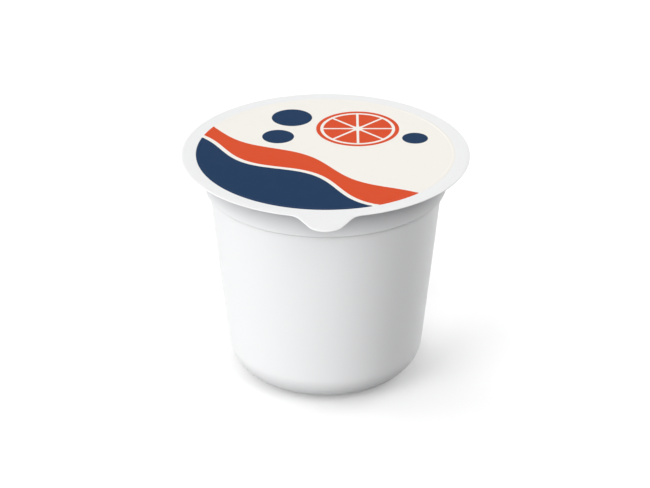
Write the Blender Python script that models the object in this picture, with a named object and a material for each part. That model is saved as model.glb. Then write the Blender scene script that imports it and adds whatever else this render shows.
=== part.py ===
"""A single-serve yogurt pot: a tapered thin-wall plastic pot, shut by a flat peel lid with a pull tab.

Metres, +Z up. The origin is the centre of the base, where the pot stands, and the tab points along -Y.
The pot is shut, so it is one solid, and the lid is a second one on its sealing flange.
"""

from math import atan2, ceil, cos, pi, radians, sin, sqrt, tan

import bmesh
import bpy
from mathutils import Matrix, Vector

MM = 0.001

# Whole pack
LID_RADIUS = 37.5 * MM
TOTAL_HEIGHT = 61.9 * MM

# Peel lid and its pull tab
LID_THICKNESS = 0.4 * MM
LID_EDGE_ROUND = 0.12 * MM
TAB_REACH = 45.3 * MM
TAB_TIP_RADIUS = 4.5 * MM
TAB_FLANK_LEAN = radians(28)
TAB_ROOT_FILLET = 3.0 * MM
SEAL_GAP = 0.3 * MM

# Sealing flange, which the lid overhangs a little
FLANGE_RADIUS = 36.2 * MM
FLANGE_THICKNESS = 0.6 * MM
FLANGE_EDGE_ROUND = 0.15 * MM
FLANGE_ROOT_FILLET = 1.2 * MM

# Collar band, and the small step where it meets the body
COLLAR_TOP_RADIUS = 32.0 * MM
COLLAR_FOOT_RADIUS = 31.6 * MM
COLLAR_EDGE_ROUND = 0.4 * MM
STEP_HEIGHT = 52.7 * MM
STEP_SLOPE = 0.25 * MM
STEP_ROOT_FILLET = 0.45 * MM

# Tapered body and its round heel
BODY_TOP_RADIUS = 30.4 * MM
BODY_FOOT_RADIUS = 25.1 * MM
HEEL_RADIUS = 9.0 * MM

# Underside, with one shallow stiffening ring
RING_INNER_RADIUS = 10.5 * MM
RING_WIDTH = 3.4 * MM
RING_DEPTH = 0.8 * MM
RING_SIDE = 0.6 * MM

# Fineness of the facets
TURN_STEPS = 96
FINE_ARC_STEP = radians(24)
HEEL_ARC_STEP = radians(10)
TAB_ARC_STEP = radians(12)
SHARP_ANGLE = radians(35)

# Finishes
POT_WHITE = (0.87, 0.87, 0.88, 1.0)
POT_ROUGHNESS = 0.38
LID_WHITE = (0.84, 0.84, 0.83, 1.0)
LID_ROUGHNESS = 0.45


def clear_scene():
    for item in list(bpy.data.objects):
        bpy.data.objects.remove(item)


def plain_material(name, colour, roughness):
    material = bpy.data.materials.new(name)
    material.use_nodes = True
    shader = material.node_tree.nodes["Principled BSDF"]
    shader.inputs["Base Color"].default_value = colour
    shader.inputs["Roughness"].default_value = roughness
    shader.inputs["Metallic"].default_value = 0.0
    material.diffuse_color = colour
    return material


def arc(centre, radius, start, end, step):
    """Points on an arc from one angle to the other, both ends included."""
    count = max(1, ceil(abs(end - start) / step))
    angles = [start + (end - start) * i / count for i in range(count + 1)]
    return [centre + Vector((cos(a), sin(a))) * radius for a in angles]


def rounded_corner(before, corner, after, radius, step):
    """The arc that replaces a sharp corner of an outline, tangent to both of its sides."""
    back = (before - corner).normalized()
    ahead = (after - corner).normalized()
    turn = pi - back.angle(ahead)
    side = 1 if back.cross(ahead) < 0 else -1
    inward = Vector((back.y, -back.x)) * side
    centre = corner + back * radius * tan(turn / 2) + inward * radius
    count = max(1, ceil(turn / step))
    swings = [side * turn * i / count for i in range(count + 1)]
    return [centre - Matrix.Rotation(swing, 2) @ inward * radius for swing in swings]


def pot_profile():
    """The turned outline as (radius, height), from the underside up the outer wall to the flange's top."""
    flange_top = TOTAL_HEIGHT - LID_THICKNESS - SEAL_GAP
    flange_foot = flange_top - FLANGE_THICKNESS
    ring_outer = RING_INNER_RADIUS + RING_WIDTH
    # Each corner of the outline: radius, height, and how much it is rounded
    corners = [
        (RING_INNER_RADIUS, 0, 0),
        (RING_INNER_RADIUS + RING_SIDE, RING_DEPTH, 0),
        (ring_outer - RING_SIDE, RING_DEPTH, 0),
        (ring_outer, 0, 0),
        (BODY_FOOT_RADIUS, 0, HEEL_RADIUS),
        (BODY_TOP_RADIUS, STEP_HEIGHT, STEP_ROOT_FILLET),
        (COLLAR_FOOT_RADIUS, STEP_HEIGHT + STEP_SLOPE, COLLAR_EDGE_ROUND),
        (COLLAR_TOP_RADIUS, flange_foot, FLANGE_ROOT_FILLET),
        (FLANGE_RADIUS, flange_foot, FLANGE_EDGE_ROUND),
        (FLANGE_RADIUS, flange_top, FLANGE_EDGE_ROUND),
        (COLLAR_FOOT_RADIUS, flange_top, 0),
    ]
    points = [Vector(corner[:2]) for corner in corners]
    profile = []
    for i, (_, _, rounding) in enumerate(corners):
        if rounding:
            step = HEEL_ARC_STEP if rounding == HEEL_RADIUS else FINE_ARC_STEP
            profile += rounded_corner(points[i - 1], points[i], points[i + 1], rounding, step)
        else:
            profile.append(points[i])
    return profile


def lid_outline():
    """The lid seen from above: a disc with a round-tipped tab that leaves it on soft root fillets."""
    tip_centre = Vector((0, TAB_REACH - TAB_TIP_RADIUS))
    flank_normal = Vector((cos(TAB_FLANK_LEAN), sin(TAB_FLANK_LEAN)))
    flank_along = Vector((-flank_normal.y, flank_normal.x))
    # The root fillet touches both the tab's straight flank and the disc
    off_flank = tip_centre.dot(flank_normal) + TAB_TIP_RADIUS + TAB_ROOT_FILLET
    off_centre = LID_RADIUS + TAB_ROOT_FILLET
    fillet_centre = flank_normal * off_flank + flank_along * sqrt(off_centre**2 - off_flank**2)
    root_angle = atan2(fillet_centre.y, fillet_centre.x)
    tip = arc(tip_centre, TAB_TIP_RADIUS, pi / 2, TAB_FLANK_LEAN, TAB_ARC_STEP)
    fillet = arc(fillet_centre, TAB_ROOT_FILLET, TAB_FLANK_LEAN + pi, root_angle + pi, TAB_ARC_STEP)
    near_rim = arc(Vector((0, 0)), LID_RADIUS, root_angle, 0, 2 * pi / TURN_STEPS)
    far_rim = arc(Vector((0, 0)), LID_RADIUS, 0, -pi / 2, 2 * pi / TURN_STEPS)
    right_half = tip + fillet + near_rim[1:] + far_rim[1:]
    left_half = [Vector((-point.x, point.y)) for point in reversed(right_half[1:-1])]
    return [Vector((point.x, -point.y)) for point in right_half + left_half]


def finish_mesh(name, shape, material):
    """Turns the built shape into a smooth-shaded object with its own material."""
    bmesh.ops.recalc_face_normals(shape, faces=shape.faces)
    mesh = bpy.data.meshes.new(name)
    shape.to_mesh(mesh)
    shape.free()
    mesh.shade_smooth()
    mesh.set_sharp_from_angle(angle=SHARP_ANGLE)
    mesh.materials.append(material)
    item = bpy.data.objects.new(name, mesh)
    bpy.context.scene.collection.objects.link(item)
    return item


def build_pot():
    """Flange, collar, step, body and heel are one formed piece, turned about the Z axis."""
    shape = bmesh.new()
    outline = [shape.verts.new((radius, 0, height)) for radius, height in pot_profile()]
    edges = [shape.edges.new(pair) for pair in zip(outline, outline[1:])]
    bmesh.ops.spin(
        shape,
        geom=outline + edges,
        cent=(0, 0, 0),
        axis=(0, 0, 1),
        angle=2 * pi,
        steps=TURN_STEPS,
        use_merge=True,
    )
    rims = [edge for edge in shape.edges if edge.is_boundary]
    bmesh.ops.holes_fill(shape, edges=rims, sides=0)
    return finish_mesh("pot", shape, plain_material("pot plastic", POT_WHITE, POT_ROUGHNESS))


def build_lid():
    """A thin stiff film, cut to the outline, with its edge eased on both faces."""
    shape = bmesh.new()
    height = TOTAL_HEIGHT - LID_THICKNESS
    outline = [shape.verts.new((x, y, height)) for x, y in lid_outline()]
    sheet = shape.faces.new(outline)
    raised = bmesh.ops.extrude_face_region(shape, geom=[sheet])["geom"]
    lifted = [item for item in raised if isinstance(item, bmesh.types.BMVert)]
    bmesh.ops.translate(shape, verts=lifted, vec=(0, 0, LID_THICKNESS))
    rims = [edge for edge in shape.edges if edge.verts[0].co.z == edge.verts[1].co.z]
    bmesh.ops.bevel(shape, geom=rims, offset=LID_EDGE_ROUND, segments=2, profile=0.5, affect="EDGES")
    return finish_mesh("lid", shape, plain_material("lid film", LID_WHITE, LID_ROUGHNESS))


clear_scene()
build_pot()
build_lid()
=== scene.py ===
"""Looks of a shut single-serve yogurt pot: satin white plastic under a flat, printed peel lid.

Every object is in metres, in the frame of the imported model: +Z up, the pull tab towards -Y.
"""

from math import atan2, ceil, cos, pi, radians, sin, sqrt, tan

import bpy
from mathutils import Matrix, Vector


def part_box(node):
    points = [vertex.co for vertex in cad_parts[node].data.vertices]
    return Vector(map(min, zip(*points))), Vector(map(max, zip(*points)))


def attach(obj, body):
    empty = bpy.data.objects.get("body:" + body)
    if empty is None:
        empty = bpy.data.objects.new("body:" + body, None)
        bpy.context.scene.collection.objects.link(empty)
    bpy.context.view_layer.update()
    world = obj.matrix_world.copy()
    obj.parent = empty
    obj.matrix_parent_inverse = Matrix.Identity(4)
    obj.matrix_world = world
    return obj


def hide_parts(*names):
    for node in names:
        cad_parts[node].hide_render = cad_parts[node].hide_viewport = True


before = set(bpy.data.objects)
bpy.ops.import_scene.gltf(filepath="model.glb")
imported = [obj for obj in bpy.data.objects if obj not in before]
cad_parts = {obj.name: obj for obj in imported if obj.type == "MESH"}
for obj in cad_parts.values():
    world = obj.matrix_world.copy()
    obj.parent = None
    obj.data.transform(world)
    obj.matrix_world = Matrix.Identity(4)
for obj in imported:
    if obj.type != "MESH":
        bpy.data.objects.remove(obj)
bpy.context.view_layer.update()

MM = 0.001
lid_low, lid_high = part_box("lid")
_, pot_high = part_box("pot")

# Peel lid and its tab; the frame gives its reach and height
LID_RADIUS = lid_high.x
LID_TOP = lid_high.z
LID_FOOT = lid_low.z
TAB_REACH = -lid_low.y
TAB_TIP_RADIUS = 4.7 * MM
TAB_FLANK_LEAN = radians(28.4)
TAB_ROOT_FILLET = 4.5 * MM

# The lid's edge, which bends down a little, in a band as wide round the tab as elsewhere
LID_EDGE_ROUND = 0.08 * MM
EDGE_DROP = 0.12 * MM
EDGE_DROP_WIDTH = 0.45 * MM
EDGE_DROP_ROUND = 1.0 * MM
EDGE_BAND = 1.5 * EDGE_DROP_WIDTH

# The lid's fine relief: a seal bead near its edge, and a gentle waviness all over
BEAD_RADIUS = 0.886 * LID_RADIUS
BEAD_HEIGHT = 0.06 * MM
BEAD_HALF_WIDTH = 0.5 * MM
BEAD_STEPS = 16
LID_WAVINESS = 0.02 * MM
WAVES_PER_METRE = 60.0
WAVE_DETAIL = 1.0

# Pot wall, as the solid has it, but with the flange close up under the lid
FLANGE_RADIUS = pot_high.x
FLANGE_THICKNESS = 0.6 * MM
FLANGE_FOOT = pot_high.z - FLANGE_THICKNESS
LID_GAP = 0.02 * MM
FLANGE_TOP = LID_FOOT - LID_GAP
FLANGE_EDGE_ROUND = 0.15 * MM
FLANGE_ROOT_FILLET = 1.2 * MM
COLLAR_TOP_RADIUS = 32.0 * MM
COLLAR_FOOT_RADIUS = 31.6 * MM
COLLAR_EDGE_ROUND = 0.4 * MM
STEP_HEIGHT = 52.7 * MM
STEP_SLOPE = 0.25 * MM
STEP_ROOT_FILLET = 0.45 * MM
BODY_TOP_RADIUS = 30.4 * MM
BODY_FOOT_RADIUS = 25.1 * MM
HEEL_RADIUS = 9.0 * MM
RING_INNER_RADIUS = 10.5 * MM
RING_WIDTH = 3.4 * MM
RING_DEPTH = 0.8 * MM
RING_SIDE = 0.6 * MM
RING_EDGE_ROUND = 0.3 * MM

# Fineness of the meshes
TURN_STEPS = 288
FINE_ARC_STEP = radians(9)
HEEL_ARC_STEP = radians(3)
TAB_ARC_STEP = radians(4)
ROW_SPACING = 1.6 * MM
ARC_GUARD = 0.08 * MM
SHORT_RUN = 4 * ARC_GUARD
MERGE_DISTANCE = 0.001 * MM

# Printed disc, in millimetres: its radius, and how far the ink's edge fades
PRINT_RADIUS = 33.7
INK_EDGE = 0.06

# Two wavy fields across the print: lengths in millimetres, the turn and phases in radians
FIELD_TURN = radians(52)
FIELD_GAP = 1.3
FIELD_WAVE_LENGTH = 38.0
NAVY_LEVEL = -15.5
NAVY_SWING = 2.6
NAVY_PHASE = 0.6
ORANGE_LEVEL = -6.5
ORANGE_SWING = 2.0
ORANGE_PHASE = 2.0

# Orange fruit slice: its centre and sizes in millimetres, and the count of its segments
SLICE_ACROSS = 8.5
SLICE_AWAY = 14.5
SLICE_RADIUS = 11.0
SLICE_RIND = 1.1
SLICE_PITH = 0.8
SPOKE_HALF_WIDTH = 0.32
SLICE_SEGMENTS = 8

# Navy discs: across, away from the camera, and radius, in millimetres
NAVY_DISCS = ((-9.0, 21.5, 5.4), (-12.5, 9.5, 4.2), (23.5, 8.5, 3.4))

# Heights between which painted shade turns the wall from white to a greyer rim, standing in for the
# shadow under the lid's overhang, in millimetres
PAINTED_SHADE_FROM = 51.0
PAINTED_SHADE_FULL = 60.0

# Gloss: refraction, the least roughness, and what noise adds to it in patches of this size
POT_IOR = 1.49
FILM_IOR = 1.24
POT_ROUGHNESS = 0.36
FILM_ROUGHNESS = 0.46
FLOOR_ROUGHNESS = 0.9
ROUGHNESS_SWING = 0.08
POT_PATCH = 9 * MM
FILM_PATCH = 5 * MM
NOISE_DETAIL = 2.0

# Grain of the surfaces; the pot's is drawn out upwards
POT_GRAIN = 0.7 * MM
POT_GRAIN_STRETCH = (1, 1, 2)
POT_GRAIN_DEPTH = 0.004 * MM
FILM_GRAIN = 0.35 * MM
FILM_GRAIN_DEPTH = 0.003 * MM

# Camera, at the photograph's viewing angle
VIEW_ELEVATION = radians(27.34)
VIEW_DISTANCE = 0.662
VIEW_AIM = Vector((-0.16 * MM, 0, 34.9 * MM))
VIEW_LENS = 138.5
SENSOR_WIDTH = 36
CLIP_END = 20

# Stage, in metres, and the strength of the room's light
FLOOR_REACH = 2.0
COVE_HEIGHT = 0.65
STAGE_STEPS = 96
ROOM_LIGHT = 0.15

# Colours
POT_WHITE = (0.806, 0.811, 0.818, 1.0)
# Painted shade: the grey the wall reaches at the rim, where the lid's overhang shades it
POT_PAINTED_SHADE_GREY = (0.500, 0.506, 0.518, 1.0)
FILM_WHITE = (0.710, 0.712, 0.715, 1.0)
PRINT_CREAM = (0.742, 0.721, 0.676, 1.0)
PRINT_NAVY = (0.002, 0.026, 0.079, 1.0)
PRINT_ORANGE = (0.575, 0.061, 0.014, 1.0)
FLOOR_WHITE = (0.98, 0.98, 0.98, 1.0)


def arc(centre, radius, start, end, step):
    """Points on an arc from one angle to the other, both ends included."""
    count = max(1, ceil(abs(end - start) / step))
    angles = [start + (end - start) * i / count for i in range(count + 1)]
    return [centre + Vector((cos(a), sin(a))) * radius for a in angles]


def rounded_corner(before, corner, after, radius, step):
    """The arc that replaces a sharp corner of an outline, tangent to both of its sides."""
    back = (before - corner).normalized()
    ahead = (after - corner).normalized()
    turn = pi - back.angle(ahead)
    side = 1 if back.cross(ahead) < 0 else -1
    inward = Vector((back.y, -back.x)) * side
    centre = corner + back * radius * tan(turn / 2) + inward * radius
    count = max(1, ceil(turn / step))
    swings = [side * turn * i / count for i in range(count + 1)]
    return [centre - Matrix.Rotation(swing, 2) @ inward * radius for swing in swings]


def rows_between(start, end):
    """Even points along a straight run, and one close to each end, so that its shading stays flat."""
    length = (end - start).length
    if length < SHORT_RUN:
        return []
    count = ceil(length / ROW_SPACING)
    shares = [i / count for i in range(1, count)]
    shares = [ARC_GUARD / length] + shares + [1 - ARC_GUARD / length]
    return [start.lerp(end, share) for share in shares]


def rounded_section(corners):
    """An open outline through corners of (radius, height, rounding); its two ends stay sharp."""
    points = [Vector(corner[:2]) for corner in corners]
    section = [points[0]]
    for i, (_, _, rounding) in enumerate(corners[1:-1], start=1):
        step = HEEL_ARC_STEP if rounding == HEEL_RADIUS else FINE_ARC_STEP
        bend = rounded_corner(points[i - 1], points[i], points[i + 1], rounding, step)
        section += rows_between(section[-1], bend[0]) + bend
    return section + rows_between(section[-1], points[-1]) + [points[-1]]


def pot_section():
    """Half of the pot cut down its middle, from under the base, up the wall, to the flange's top."""
    ring_outer = RING_INNER_RADIUS + RING_WIDTH
    return rounded_section([
        (0, 0, 0),
        (RING_INNER_RADIUS, 0, RING_EDGE_ROUND),
        (RING_INNER_RADIUS + RING_SIDE, RING_DEPTH, RING_EDGE_ROUND),
        (ring_outer - RING_SIDE, RING_DEPTH, RING_EDGE_ROUND),
        (ring_outer, 0, RING_EDGE_ROUND),
        (BODY_FOOT_RADIUS, 0, HEEL_RADIUS),
        (BODY_TOP_RADIUS, STEP_HEIGHT, STEP_ROOT_FILLET),
        (COLLAR_FOOT_RADIUS, STEP_HEIGHT + STEP_SLOPE, COLLAR_EDGE_ROUND),
        (COLLAR_TOP_RADIUS, FLANGE_FOOT, FLANGE_ROOT_FILLET),
        (FLANGE_RADIUS, FLANGE_FOOT, FLANGE_EDGE_ROUND),
        (FLANGE_RADIUS, FLANGE_TOP, FLANGE_EDGE_ROUND),
        (0, FLANGE_TOP, 0),
    ])


def lid_section():
    """Half of the lid cut down its middle, from under its centre, round its edge, to its top."""
    foot = LID_FOOT + LID_WAVINESS
    top = LID_TOP - BEAD_HEIGHT - LID_WAVINESS
    plain = rounded_section([
        (0, foot, 0),
        (LID_RADIUS, foot, LID_EDGE_ROUND),
        (LID_RADIUS, top - EDGE_DROP, LID_EDGE_ROUND),
        (LID_RADIUS - EDGE_DROP_WIDTH, top, EDGE_DROP_ROUND),
        (0, top, 0),
    ])
    middle = (foot + top) / 2
    turned = next(i for i, point in enumerate(plain) if point.y > middle)
    outside = [point for point in plain[turned:] if point.x > BEAD_RADIUS + BEAD_HALF_WIDTH]
    inside = [point for point in plain[turned:] if point.x < BEAD_RADIUS - BEAD_HALF_WIDTH]
    bead = []
    for i in range(BEAD_STEPS + 1):
        off = 1 - 2 * i / BEAD_STEPS
        lift = BEAD_HEIGHT * (1 + cos(pi * off)) / 2
        bead.append(Vector((BEAD_RADIUS + BEAD_HALF_WIDTH * off, top + lift)))
    return plain[:turned] + outside + bead + inside


def tab_half():
    """One side of the tab, from its tip to where it meets the disc, as (sideways, outwards)."""
    tip_centre = Vector((0, TAB_REACH - TAB_TIP_RADIUS))
    flank_normal = Vector((cos(TAB_FLANK_LEAN), sin(TAB_FLANK_LEAN)))
    flank_along = Vector((-flank_normal.y, flank_normal.x))
    off_flank = tip_centre.dot(flank_normal) + TAB_TIP_RADIUS + TAB_ROOT_FILLET
    off_centre = LID_RADIUS + TAB_ROOT_FILLET
    fillet_centre = flank_normal * off_flank + flank_along * sqrt(off_centre**2 - off_flank**2)
    root_angle = atan2(fillet_centre.y, fillet_centre.x)
    tip = arc(tip_centre, TAB_TIP_RADIUS, pi / 2, TAB_FLANK_LEAN, TAB_ARC_STEP)
    fillet = arc(fillet_centre, TAB_ROOT_FILLET, TAB_FLANK_LEAN + pi, root_angle + pi, TAB_ARC_STEP)
    return tip + fillet


def lid_edge():
    """The lid's cut edge as seen from above, once round, against the clock."""
    half = tab_half()
    root_angle = atan2(half[-1].y, half[-1].x)
    near = arc(Vector((0, 0)), LID_RADIUS, root_angle, 0, 2 * pi / TURN_STEPS)
    far = arc(Vector((0, 0)), LID_RADIUS, 0, -pi / 2, 2 * pi / TURN_STEPS)
    right = half + near[1:] + far[1:]
    left = [Vector((-point.x, point.y)) for point in reversed(right[1:-1])]
    return [Vector((point.x, -point.y)) for point in right + left]


class Wire:
    """A number running through a node tree, so that nodes can be written as plain arithmetic."""

    def __init__(self, tree, socket):
        self.tree = tree
        self.socket = socket

    def through(self, operation, *others):
        """What comes out of a maths node that takes this number and then the others."""
        node = self.tree.nodes.new("ShaderNodeMath")
        node.operation = operation
        for slot, value in zip(node.inputs, (self, *others)):
            if isinstance(value, Wire):
                self.tree.links.new(value.socket, slot)
            else:
                slot.default_value = value
        return Wire(self.tree, node.outputs[0])

    def __add__(self, other):
        return self.through("ADD", other)

    def __sub__(self, other):
        return self.through("SUBTRACT", other)

    def __mul__(self, other):
        return self.through("MULTIPLY", other)

    def __truediv__(self, other):
        return self.through("DIVIDE", other)

    def __neg__(self):
        return self.through("MULTIPLY", -1.0)

    def clamped(self):
        return self.through("MAXIMUM", 0.0).through("MINIMUM", 1.0)

    def joined(self, other):
        return self.through("MAXIMUM", other)


def add_node(tree, kind, **inputs):
    """A new node; an input gets a fixed value, or a link where the value is another node's output."""
    node = tree.nodes.new(kind)
    for name, value in inputs.items():
        slot = node.inputs[name.replace("_", " ")]
        if isinstance(value, bpy.types.NodeSocket):
            tree.links.new(value, slot)
        else:
            slot.default_value = value
    return node


def vector_math(tree, operation, vector):
    node = tree.nodes.new("ShaderNodeVectorMath")
    node.operation = operation
    tree.links.new(vector, node.inputs[0])
    return node


def empty_sweep_tree():
    """A node tree with the inputs and the output that a sweep has, and the identifier of each input."""
    tree = bpy.data.node_groups.new("swept piece", "GeometryNodeTree")
    identifiers = {}
    for name, kind in (
        ("Section", "NodeSocketGeometry"),
        ("Section Points", "NodeSocketInt"),
        ("Path", "NodeSocketObject"),
        ("Path Points", "NodeSocketInt"),
        ("Path Radius", "NodeSocketFloat"),
        ("Waviness", "NodeSocketFloat"),
        ("Material", "NodeSocketMaterial"),
    ):
        socket = tree.interface.new_socket(name, in_out="INPUT", socket_type=kind)
        identifiers[name] = socket.identifier
    tree.interface.new_socket("Piece", in_out="OUTPUT", socket_type="NodeSocketGeometry")
    return tree, identifiers


def swept_piece_tree():
    """Carries a section round a path: the section's X is a radius, its Z a height, and its Y a share.

    The share says how far a point follows the path where the path leaves its plain circle.
    """
    tree, identifiers = empty_sweep_tree()
    given = tree.nodes.new("NodeGroupInput").outputs
    section_points = Wire(tree, given["Section Points"])
    path_points = Wire(tree, given["Path Points"])

    # A grid of points, one column for each point of the path and one row for each of the section
    columns = (path_points + 1.0).socket
    rows = section_points.socket
    grid = add_node(tree, "GeometryNodeMeshGrid", Vertices_X=columns, Vertices_Y=rows).outputs["Mesh"]
    index = Wire(tree, tree.nodes.new("GeometryNodeInputIndex").outputs[0])
    column = (index / section_points).through("FLOOR")
    row = index - column * section_points
    position = tree.nodes.new("GeometryNodeInputPosition").outputs[0]

    def point_of(geometry, at):
        node = tree.nodes.new("GeometryNodeSampleIndex")
        node.data_type = "FLOAT_VECTOR"
        tree.links.new(geometry, node.inputs["Geometry"])
        tree.links.new(position, node.inputs["Value"])
        tree.links.new(at.socket, node.inputs["Index"])
        return node.outputs[0]

    path = add_node(tree, "GeometryNodeObjectInfo", Object=given["Path"]).outputs["Geometry"]
    outward = point_of(path, column.through("MODULO", path_points))
    direction = vector_math(tree, "NORMALIZE", outward).outputs["Vector"]
    reach = Wire(tree, vector_math(tree, "LENGTH", outward).outputs["Value"])
    section = add_node(tree, "ShaderNodeSeparateXYZ", Vector=point_of(given["Section"], row)).outputs
    beyond = reach - Wire(tree, given["Path Radius"])
    radius = Wire(tree, section["X"]) + beyond * Wire(tree, section["Y"])
    scaled = vector_math(tree, "SCALE", direction)
    tree.links.new(radius.socket, scaled.inputs["Scale"])
    flat = scaled.outputs["Vector"]

    # A gentle waviness in height, as a thin film has
    noise = add_node(tree, "ShaderNodeTexNoise", Vector=flat, Scale=WAVES_PER_METRE, Detail=WAVE_DETAIL)
    wave = (Wire(tree, noise.outputs[0]) - 0.5) * 2.0 * Wire(tree, given["Waviness"])
    height = Wire(tree, section["Z"]) + wave
    spot = add_node(tree, "ShaderNodeSeparateXYZ", Vector=flat).outputs
    place = add_node(tree, "ShaderNodeCombineXYZ", X=spot["X"], Y=spot["Y"], Z=height.socket)
    piece = add_node(tree, "GeometryNodeSetPosition", Geometry=grid, Position=place.outputs[0])

    # The grid's first and last columns meet, and at each pole a whole row becomes one point
    for kind, inputs in (
        ("GeometryNodeMergeByDistance", {"Distance": MERGE_DISTANCE}),
        ("GeometryNodeSetShadeSmooth", {}),
        ("GeometryNodeRealizeInstances", {}),
        ("GeometryNodeSetMaterial", {"Material": given["Material"]}),
    ):
        piece = add_node(tree, kind, Geometry=piece.outputs[0], **inputs)
    tree.links.new(piece.outputs[0], tree.nodes.new("NodeGroupOutput").inputs[0])
    return tree, identifiers


def new_object(name, mesh):
    item = bpy.data.objects.new(name, mesh)
    bpy.context.scene.collection.objects.link(item)
    return item


def points_object(name, points):
    mesh = bpy.data.meshes.new(name)
    mesh.from_pydata(points, [], [])
    return new_object(name, mesh)


def swept_piece(name, section, path, path_radius, waviness, material):
    """A closed plain mesh, made by carrying the section once round the path."""
    item = points_object(name + " section", section)
    around = points_object(name + " path", path)
    sweep = item.modifiers.new("sweep", "NODES")
    tree, identifiers = swept_piece_tree()
    sweep.node_group = tree
    values = {
        "Section Points": len(section),
        "Path": around,
        "Path Points": len(path),
        "Path Radius": path_radius,
        "Waviness": waviness,
        "Material": material,
    }
    for label, value in values.items():
        sweep[identifiers[label]] = value
    bpy.context.view_layer.update()
    shown = item.evaluated_get(bpy.context.evaluated_depsgraph_get())
    mesh = bpy.data.meshes.new_from_object(shown)
    mesh.name = name
    bpy.data.objects.remove(item)
    bpy.data.objects.remove(around)
    return new_object(name, mesh)


def build_pot(material):
    """The whole formed wall, from the underside to the flange."""
    section = [(point.x, 0, point.y) for point in pot_section()]
    turns = [2 * pi * i / TURN_STEPS for i in range(TURN_STEPS)]
    circle = [(cos(turn), sin(turn), 0) for turn in turns]
    return swept_piece("pot_wall", section, circle, 1.0, 0.0, material)


def build_lid(material):
    """The film: round inside its bead, and following the cut edge and the tab beyond it."""
    flat_from = BEAD_RADIUS + BEAD_HALF_WIDTH
    flat_to = LID_RADIUS - EDGE_BAND
    section = []
    for point in lid_section():
        share = (point.x - flat_from) / (flat_to - flat_from)
        section.append((point.x, min(1.0, max(0.0, share)), point.y))
    edge = [(point.x, point.y, 0) for point in lid_edge()]
    return swept_piece("lid_film", section, edge, LID_RADIUS, LID_WAVINESS, material)


class Surface:
    """A material under construction, with the shaded point's place on the object in millimetres."""

    def __init__(self, name):
        self.material = bpy.data.materials.new(name)
        self.material.use_nodes = True
        self.tree = self.material.node_tree
        self.shader = self.tree.nodes["Principled BSDF"]
        self.place = self.tree.nodes.new("ShaderNodeTexCoord").outputs["Object"]
        parts = add_node(self.tree, "ShaderNodeSeparateXYZ", Vector=self.place).outputs
        self.x, self.y, self.z = (Wire(self.tree, parts[axis]) / MM for axis in "XYZ")

    def noise(self, grain, stretch=(1, 1, 1)):
        """Noise from 0 to 1, with features about as long as the grain."""
        scaled = vector_math(self.tree, "MULTIPLY", self.place)
        scaled.inputs[1].default_value = [1 / (grain * factor) for factor in stretch]
        spot = scaled.outputs["Vector"]
        texture = add_node(self.tree, "ShaderNodeTexNoise", Vector=spot, Scale=1.0, Detail=NOISE_DETAIL)
        return Wire(self.tree, texture.outputs[0])

    def mixed(self, under, over, share):
        """One colour laid over another; each is a fixed colour or an earlier mix."""
        node = self.tree.nodes.new("ShaderNodeMix")
        node.data_type = "RGBA"
        self.tree.links.new(share.socket, node.inputs[0])
        sides = [slot for slot in node.inputs if slot.type == "RGBA"]
        for slot, colour in zip(sides, (under, over)):
            if isinstance(colour, bpy.types.NodeSocket):
                self.tree.links.new(colour, slot)
            else:
                slot.default_value = colour
        return next(slot for slot in node.outputs if slot.type == "RGBA")

    def set(self, name, value):
        """Gives one of the shader's inputs a fixed value, a number wire or a colour socket."""
        if isinstance(value, Wire):
            value = value.socket
        if isinstance(value, bpy.types.NodeSocket):
            self.tree.links.new(value, self.shader.inputs[name])
        else:
            self.shader.inputs[name].default_value = value

    def relief(self, height, depth):
        """Fine bump from a height of 0 to 1, at its true depth."""
        bump = add_node(self.tree, "ShaderNodeBump", Distance=depth, Height=height.socket)
        self.tree.links.new(bump.outputs[0], self.shader.inputs["Normal"])


def pot_plastic():
    """Thin white plastic, with painted shade that greys the wall towards the rim, where the lid's
    overhang shades it.
    """
    surface = Surface("satin white plastic")
    # Painted shade: the colour darkens with height towards the rim, standing in for the overhang's
    # shadow
    rise = ((surface.z - PAINTED_SHADE_FROM) / (PAINTED_SHADE_FULL - PAINTED_SHADE_FROM)).clamped()
    painted_shade_share = rise * rise * (-rise * 2.0 + 3.0)
    surface.set("Base Color", surface.mixed(POT_WHITE, POT_PAINTED_SHADE_GREY, painted_shade_share))
    surface.set("Roughness", surface.noise(POT_PATCH) * ROUGHNESS_SWING + POT_ROUGHNESS)
    surface.set("IOR", POT_IOR)
    surface.relief(surface.noise(POT_GRAIN, POT_GRAIN_STRETCH), POT_GRAIN_DEPTH)
    return surface.material


def inside(depth):
    """1 where the depth inside a shape is positive, with an edge as sharp as ink has."""
    return (depth / INK_EDGE + 0.5).clamped()


def distance(surface, across, away):
    side = surface.x - across
    up = surface.y - away
    return (side * side + up * up).through("SQRT")


def disc(surface, across, away, radius):
    return inside(-distance(surface, across, away) + radius)


def fruit_slice(surface):
    """Rind, pith and segments, which are parted by spokes of even width."""
    off = distance(surface, SLICE_ACROSS, SLICE_AWAY)
    flesh_radius = SLICE_RADIUS - SLICE_RIND - SLICE_PITH
    rind = inside(-off + SLICE_RADIUS) * inside(off - (SLICE_RADIUS - SLICE_RIND))
    angle = (surface.y - SLICE_AWAY).through("ARCTAN2", surface.x - SLICE_ACROSS)
    turns = SLICE_SEGMENTS / 2
    from_spoke = (angle * turns).through("SINE").through("ABSOLUTE") * off * (1 / turns)
    flesh = inside(-off + flesh_radius) * inside(from_spoke - SPOKE_HALF_WIDTH)
    return rind.joined(flesh)


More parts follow.
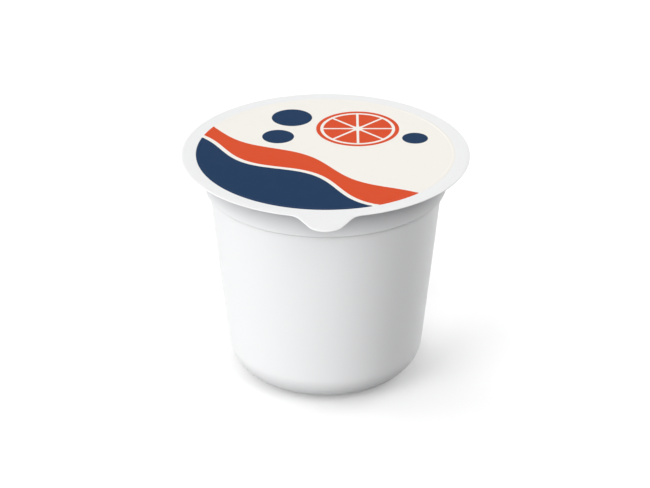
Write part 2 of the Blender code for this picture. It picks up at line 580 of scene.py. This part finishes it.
def print_shapes(surface):
    """Where the lid carries orange ink, and where navy: wavy fields, a fruit slice and discs."""
    across_waves = surface.x * sin(FIELD_TURN) - surface.y * cos(FIELD_TURN)
    up_waves = surface.x * cos(FIELD_TURN) + surface.y * sin(FIELD_TURN)
    phase = across_waves * (2 * pi / FIELD_WAVE_LENGTH)
    navy_top = (phase + NAVY_PHASE).through("SINE") * NAVY_SWING + NAVY_LEVEL
    orange_top = (phase + ORANGE_PHASE).through("SINE") * ORANGE_SWING + ORANGE_LEVEL
    orange = inside(up_waves - navy_top - FIELD_GAP) * inside(orange_top - up_waves)
    navy = inside(navy_top - up_waves)
    for across, away, radius in NAVY_DISCS:
        navy = navy.joined(disc(surface, across, away, radius))
    return orange.joined(fruit_slice(surface)), navy


def lid_film():
    """Bare white film with a round print on a cream ground."""
    surface = Surface("printed lidding film")
    paper = disc(surface, 0.0, 0.0, PRINT_RADIUS)
    orange, navy = print_shapes(surface)
    colour = surface.mixed(FILM_WHITE, PRINT_CREAM, paper)
    colour = surface.mixed(colour, PRINT_ORANGE, orange * paper)
    colour = surface.mixed(colour, PRINT_NAVY, navy * paper)
    surface.set("Base Color", colour)
    surface.set("Roughness", surface.noise(FILM_PATCH) * ROUGHNESS_SWING + FILM_ROUGHNESS)
    surface.set("IOR", FILM_IOR)
    surface.relief(surface.noise(FILM_GRAIN), FILM_GRAIN_DEPTH)
    return surface.material


def build_stage():
    """A round white floor that turns up into a low wall far off, so that level views are plain too."""
    cove = arc(Vector((FLOOR_REACH, COVE_HEIGHT)), COVE_HEIGHT, -pi / 2, 0, FINE_ARC_STEP)
    turns = [2 * pi * i / STAGE_STEPS for i in range(STAGE_STEPS)]
    points = [(point.x * cos(turn), point.x * sin(turn), point.y) for point in cove for turn in turns]
    faces = [range(STAGE_STEPS)]
    for low in range(0, len(points) - STAGE_STEPS, STAGE_STEPS):
        high = low + STAGE_STEPS
        for i in range(STAGE_STEPS):
            after = (i + 1) % STAGE_STEPS
            faces.append((low + i, high + i, high + after, low + after))
    mesh = bpy.data.meshes.new("floor")
    mesh.from_pydata(points, [], faces)
    mesh.shade_smooth()
    floor = new_object("floor", mesh)
    surface = Surface("white floor")
    surface.set("Base Color", FLOOR_WHITE)
    surface.set("Roughness", FLOOR_ROUGHNESS)
    mesh.materials.append(surface.material)
    # The floor takes the pot's shadow, but throws no light back up under the lid's overhang,
    # which is dark in the photograph, and its wall stops none of the far lights
    floor.visible_diffuse = False
    floor.visible_shadow = False


def soft_light(name, azimuth, elevation, spread, strength):
    """A broad, far light, placed by angles in degrees.

    Azimuth 0 shines from the camera's side and 90 from its right. The strength is the share of
    full white that it gives a white sheet which faces it.
    """
    light = bpy.data.lights.new(name, "SUN")
    light.angle = radians(spread)
    light.energy = strength * pi
    item = bpy.data.objects.new(name, light)
    turn = radians(azimuth)
    rise = radians(elevation)
    away = Vector((sin(turn) * cos(rise), -cos(turn) * cos(rise), sin(rise)))
    item.location = away
    item.rotation_mode = "QUATERNION"
    item.rotation_quaternion = away.to_track_quat("Z", "Y")
    bpy.context.scene.collection.objects.link(item)


def build_lights():
    """A dim white room, and lights whose strengths were fitted to the photograph's shading."""
    world = bpy.data.worlds.new("soft room")
    world.use_nodes = True
    background = world.node_tree.nodes["Background"]
    background.inputs["Color"].default_value = (1, 1, 1, 1)
    background.inputs["Strength"].default_value = ROOM_LIGHT
    bpy.context.scene.world = world
    soft_light("key", -50, 12, 40, 0.567)
    soft_light("high key", -50, 45, 35, 0.184)
    soft_light("left", -100, 25, 30, 0.239)
    soft_light("front", 0, 25, 30, 0.317)
    soft_light("front right", 45, 45, 35, 0.200)
    soft_light("rim", 135, 12, 40, 0.560)
    soft_light("rear left", -135, 45, 35, 0.206)
    soft_light("rear top", 180, 65, 35, 0.145)
    soft_light("overhead", -60, 78, 40, 0.075)


def build_camera():
    lens = bpy.data.cameras.new("camera")
    lens.lens = VIEW_LENS
    lens.sensor_width = SENSOR_WIDTH
    lens.clip_end = CLIP_END
    camera = bpy.data.objects.new("camera", lens)
    back = Vector((0, -cos(VIEW_ELEVATION), sin(VIEW_ELEVATION)))
    camera.location = VIEW_AIM + back * VIEW_DISTANCE
    camera.rotation_mode = "QUATERNION"
    camera.rotation_quaternion = back.to_track_quat("Z", "Y")
    bpy.context.scene.collection.objects.link(camera)
    bpy.context.scene.camera = camera


pot = build_pot(pot_plastic())
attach(pot, "root")
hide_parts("pot")

lid = build_lid(lid_film())
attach(lid, "root")
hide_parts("lid")

build_stage()
build_lights()
build_camera()
bpy.context.scene.view_settings.view_transform = "Standard"
